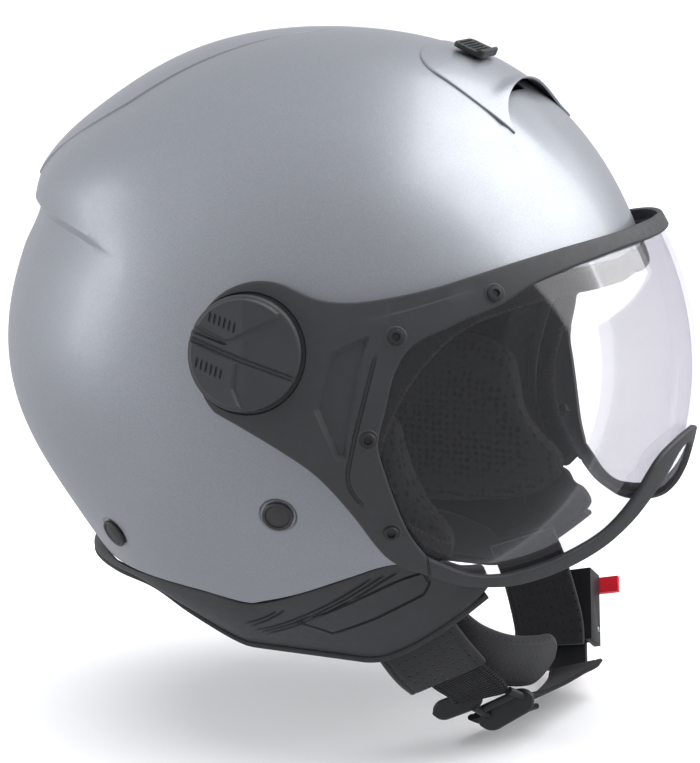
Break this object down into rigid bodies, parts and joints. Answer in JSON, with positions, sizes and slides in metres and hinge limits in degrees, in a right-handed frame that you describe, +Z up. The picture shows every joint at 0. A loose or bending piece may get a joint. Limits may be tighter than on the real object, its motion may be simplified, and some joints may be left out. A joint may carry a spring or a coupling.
{
  "type": "open face motorcycle helmet",
  "caption": "Open face motorcycle helmet: painted shell, hinged clear visor, sliding top vent, padded lining, neck moulding and chin strap with a ratchet buckle.",
  "frame": {"origin": "middle of the helmet's bounding box, on its middle plane", "axes": "+X the way the wearer faces, +Y the wearer's left, +Z up"},
  "size_m": [0.2834, 0.2684, 0.2806],
  "materials": {
    "silver_paint": "satin metallic paint on a moulded shell",
    "foam": "matte moulded foam beads",
    "lining_mesh": "spacer mesh",
    "lining_fabric": "brushed knit",
    "charcoal_plastic": "fine textured",
    "edge_rubber": "matte",
    "black_plastic": "matte",
    "clear_lens": "polished clear polycarbonate",
    "steel": "brushed",
    "dark_steel": "satin",
    "webbing": "woven",
    "suede": "perforated suede",
    "red_plastic": "gloss"
  },
  "bodies": {
    "helmet": {"outer_shell": "silver_paint", "eps_liner": "foam", "crown_liner": "lining_mesh", "neck_roll": "lining_fabric", "cheek_pad_right": "lining_fabric", "cheek_pad_left": "lining_fabric", "base_moulding": "charcoal_plastic", "base_edge_trim": "edge_rubber", "face_edge_trim": "edge_rubber", "vent_cover": "silver_paint", "pivot_bush_right": "black_plastic", "pivot_bush_left": "black_plastic", "pivot_screw_right": "steel", "pivot_screw_left": "steel", "pivot_nut_right": "steel", "pivot_nut_left": "steel", "strap_rivet_front_right": "dark_steel", "strap_rivet_rear_right": "dark_steel", "strap_rivet_front_left": "dark_steel", "strap_rivet_rear_left": "dark_steel", "rivet_washer_front_right": "steel", "rivet_washer_rear_right": "steel", "rivet_washer_front_left": "steel", "rivet_washer_rear_left": "steel", "anchor_strap_right": "webbing", "anchor_strap_left": "webbing"},
    "visor": {"visor_frame": "charcoal_plastic", "visor_lens": "clear_lens", "visor_lower_trim": "charcoal_plastic", "lens_screw_right_1": "black_plastic", "lens_screw_right_2": "black_plastic", "lens_screw_right_3": "black_plastic", "lens_screw_right_4": "black_plastic", "lens_screw_left_1": "black_plastic", "lens_screw_left_2": "black_plastic", "lens_screw_left_3": "black_plastic", "lens_screw_left_4": "black_plastic", "lens_nut_right_1": "black_plastic", "lens_nut_right_2": "black_plastic", "lens_nut_right_3": "black_plastic", "lens_nut_right_4": "black_plastic", "lens_nut_left_1": "black_plastic", "lens_nut_left_2": "black_plastic", "lens_nut_left_3": "black_plastic", "lens_nut_left_4": "black_plastic", "pivot_cover_right": "charcoal_plastic", "pivot_cover_left": "charcoal_plastic"},
    "vent_shutter": {"vent_slider": "black_plastic"},
    "chin_strap": {"chin_strap_right": "webbing", "chin_strap_left": "webbing", "strap_sleeve_right": "suede", "strap_sleeve_left": "suede", "chin_pad": "suede", "buckle_body": "black_plastic", "lever_pin": "steel"},
    "tongue": {"chin_webbing": "webbing", "strap_adjuster": "black_plastic", "strap_tail": "webbing", "ratchet_tongue": "black_plastic"},
    "release_lever": {"buckle_lever": "red_plastic"}
  },
  "joints": [
    {"name": "visor_tilt", "type": "hinge", "parent": "helmet", "child": "visor", "pos_m": [0.00924, 0, 0.03146], "axis": [0, -1, 0], "range_deg": [0, 50]},
    {"name": "vent_slide", "type": "slide", "parent": "helmet", "child": "vent_shutter", "axis": [0.8713, 0, -0.4907], "range_m": [0, 0.007]},
    {"name": "strap_swing", "type": "hinge", "parent": "helmet", "child": "chin_strap", "pos_m": [0.04844, 0, -0.07674], "axis": [0, 1, 0], "range_deg": [-12, 6]},
    {"name": "tongue_slide", "type": "slide", "parent": "chin_strap", "child": "tongue", "axis": [0.2011, -0.5396, -0.8176], "range_m": [0, 0.008]},
    {"name": "lever_press", "type": "hinge", "parent": "chin_strap", "child": "release_lever", "pos_m": [0.07285, 0.06768, -0.12233], "axis": [-0.975, -0.03, -0.22], "range_deg": [0, 40]}
  ]
}
